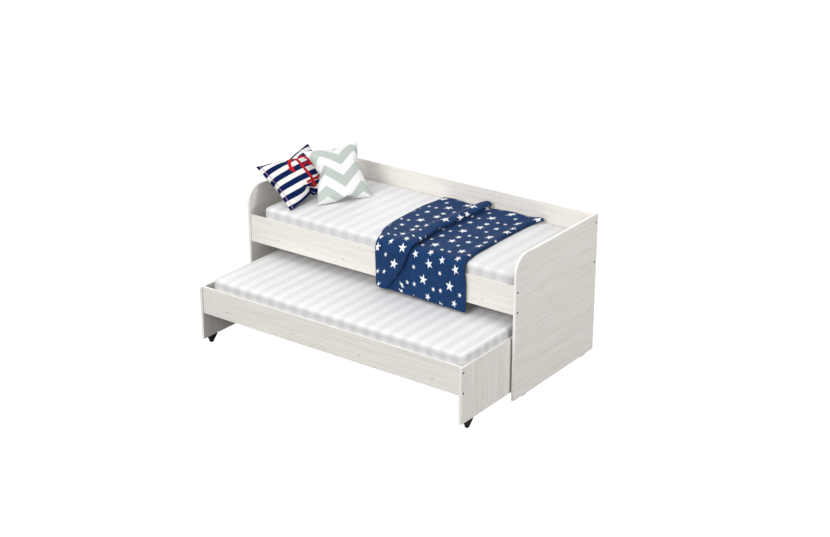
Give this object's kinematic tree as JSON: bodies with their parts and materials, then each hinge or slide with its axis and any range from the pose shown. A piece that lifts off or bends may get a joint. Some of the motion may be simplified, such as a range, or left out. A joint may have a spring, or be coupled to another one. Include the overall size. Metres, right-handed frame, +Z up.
{
  "type": "trundle bed",
  "caption": "Single bed of pale board panels with a low back, made up with bedding, and a second mattress bed on casters that rolls out from underneath.",
  "frame": {"origin": "on the floor, at the middle of the box round the bed with its lower bed partly out", "axes": "+X along the bed towards its right end seen from the front, +Y to the back panel, +Z up"},
  "size_m": [1.9344, 1.329, 1.03],
  "materials": {
    "board_laminate": "pale ash woodgrain laminate, matt",
    "edge_band": "pale edge banding, satin",
    "batten_wood": "plain board, matt",
    "cap_plastic": "dark grey moulded cap",
    "fastener_steel": "dark zinc plated",
    "caster_plastic": "black moulded plastic",
    "wheel_plastic": "black nylon, satin",
    "glide_plastic": "dark grey plastic",
    "mattress_cover": "white satin-stripe ticking",
    "throw_cloth": "navy brushed cloth with white stars",
    "striped_cloth": "navy and cream striped canvas",
    "chevron_cloth": "grey-green and white zigzag canvas"
  },
  "bodies": {
    "upper_bed": {"left_end_panel": "board_laminate", "right_end_panel": "board_laminate", "left_end_edge_band": "edge_band", "right_end_edge_band": "edge_band", "front_rail": "board_laminate", "front_rail_edge_bands": "edge_band", "back_panel": "board_laminate", "back_panel_edge_bands": "edge_band", "left_base_board": "board_laminate", "right_base_board": "board_laminate", "base_batten": "batten_wood", "batten_screws": "fastener_steel", "base_screws": "fastener_steel", "end_screws": "fastener_steel", "end_screw_caps": "cap_plastic", "floor_glides": "glide_plastic", "glide_nails": "fastener_steel", "upper_mattress": "mattress_cover", "throw": "throw_cloth", "striped_pillow": "striped_cloth", "chevron_pillow": "chevron_cloth"},
    "lower_bed": {"lower_left_end_panel": "board_laminate", "lower_right_end_panel": "board_laminate", "lower_left_end_edge_band": "edge_band", "lower_right_end_edge_band": "edge_band", "lower_front_rail": "board_laminate", "lower_front_rail_edge_bands": "edge_band", "lower_back_rail": "board_laminate", "lower_back_rail_edge_bands": "edge_band", "lower_left_base_board": "board_laminate", "lower_right_base_board": "board_laminate", "lower_base_batten": "batten_wood", "lower_batten_screws": "fastener_steel", "lower_base_screws": "fastener_steel", "lower_end_screws": "fastener_steel", "lower_end_screw_caps": "cap_plastic", "lower_mattress": "mattress_cover", "caster_screws": "fastener_steel", "front_left_caster_hood": "caster_plastic", "front_left_caster_axle": "fastener_steel", "front_right_caster_hood": "caster_plastic", "front_right_caster_axle": "fastener_steel", "rear_left_caster_hood": "caster_plastic", "rear_left_caster_axle": "fastener_steel", "rear_right_caster_hood": "caster_plastic", "rear_right_caster_axle": "fastener_steel"},
    "front_left_wheel": {"front_left_caster_wheel": "wheel_plastic"},
    "front_right_wheel": {"front_right_caster_wheel": "wheel_plastic"},
    "rear_left_wheel": {"rear_left_caster_wheel": "wheel_plastic"},
    "rear_right_wheel": {"rear_right_caster_wheel": "wheel_plastic"}
  },
  "joints": [
    {"name": "lower_bed_slide", "type": "slide", "parent": "upper_bed", "child": "lower_bed", "axis": [0, -1, 0], "range_m": [-0.473, 0.383]},
    {"name": "front_left_wheel_spin", "type": "hinge", "parent": "lower_bed", "child": "front_left_wheel", "pos_m": [-0.9317, -0.5935, 0.0175], "axis": [1, 0, 0], "continuous": true},
    {"name": "front_right_wheel_spin", "type": "hinge", "parent": "lower_bed", "child": "front_right_wheel", "pos_m": [0.9317, -0.5935, 0.0175], "axis": [1, 0, 0], "continuous": true},
    {"name": "rear_left_wheel_spin", "type": "hinge", "parent": "lower_bed", "child": "rear_left_wheel", "pos_m": [-0.9317, 0.1205, 0.0175], "axis": [1, 0, 0], "continuous": true},
    {"name": "rear_right_wheel_spin", "type": "hinge", "parent": "lower_bed", "child": "rear_right_wheel", "pos_m": [0.9317, 0.1205, 0.0175], "axis": [1, 0, 0], "continuous": true}
  ],
  "couplings": [
    {"joint": "front_left_wheel_spin", "follows": "lower_bed_slide", "rad_per_m": 57.143},
    {"joint": "front_right_wheel_spin", "follows": "lower_bed_slide", "rad_per_m": 57.143},
    {"joint": "rear_left_wheel_spin", "follows": "lower_bed_slide", "rad_per_m": 57.143},
    {"joint": "rear_right_wheel_spin", "follows": "lower_bed_slide", "rad_per_m": 57.143}
  ]
}
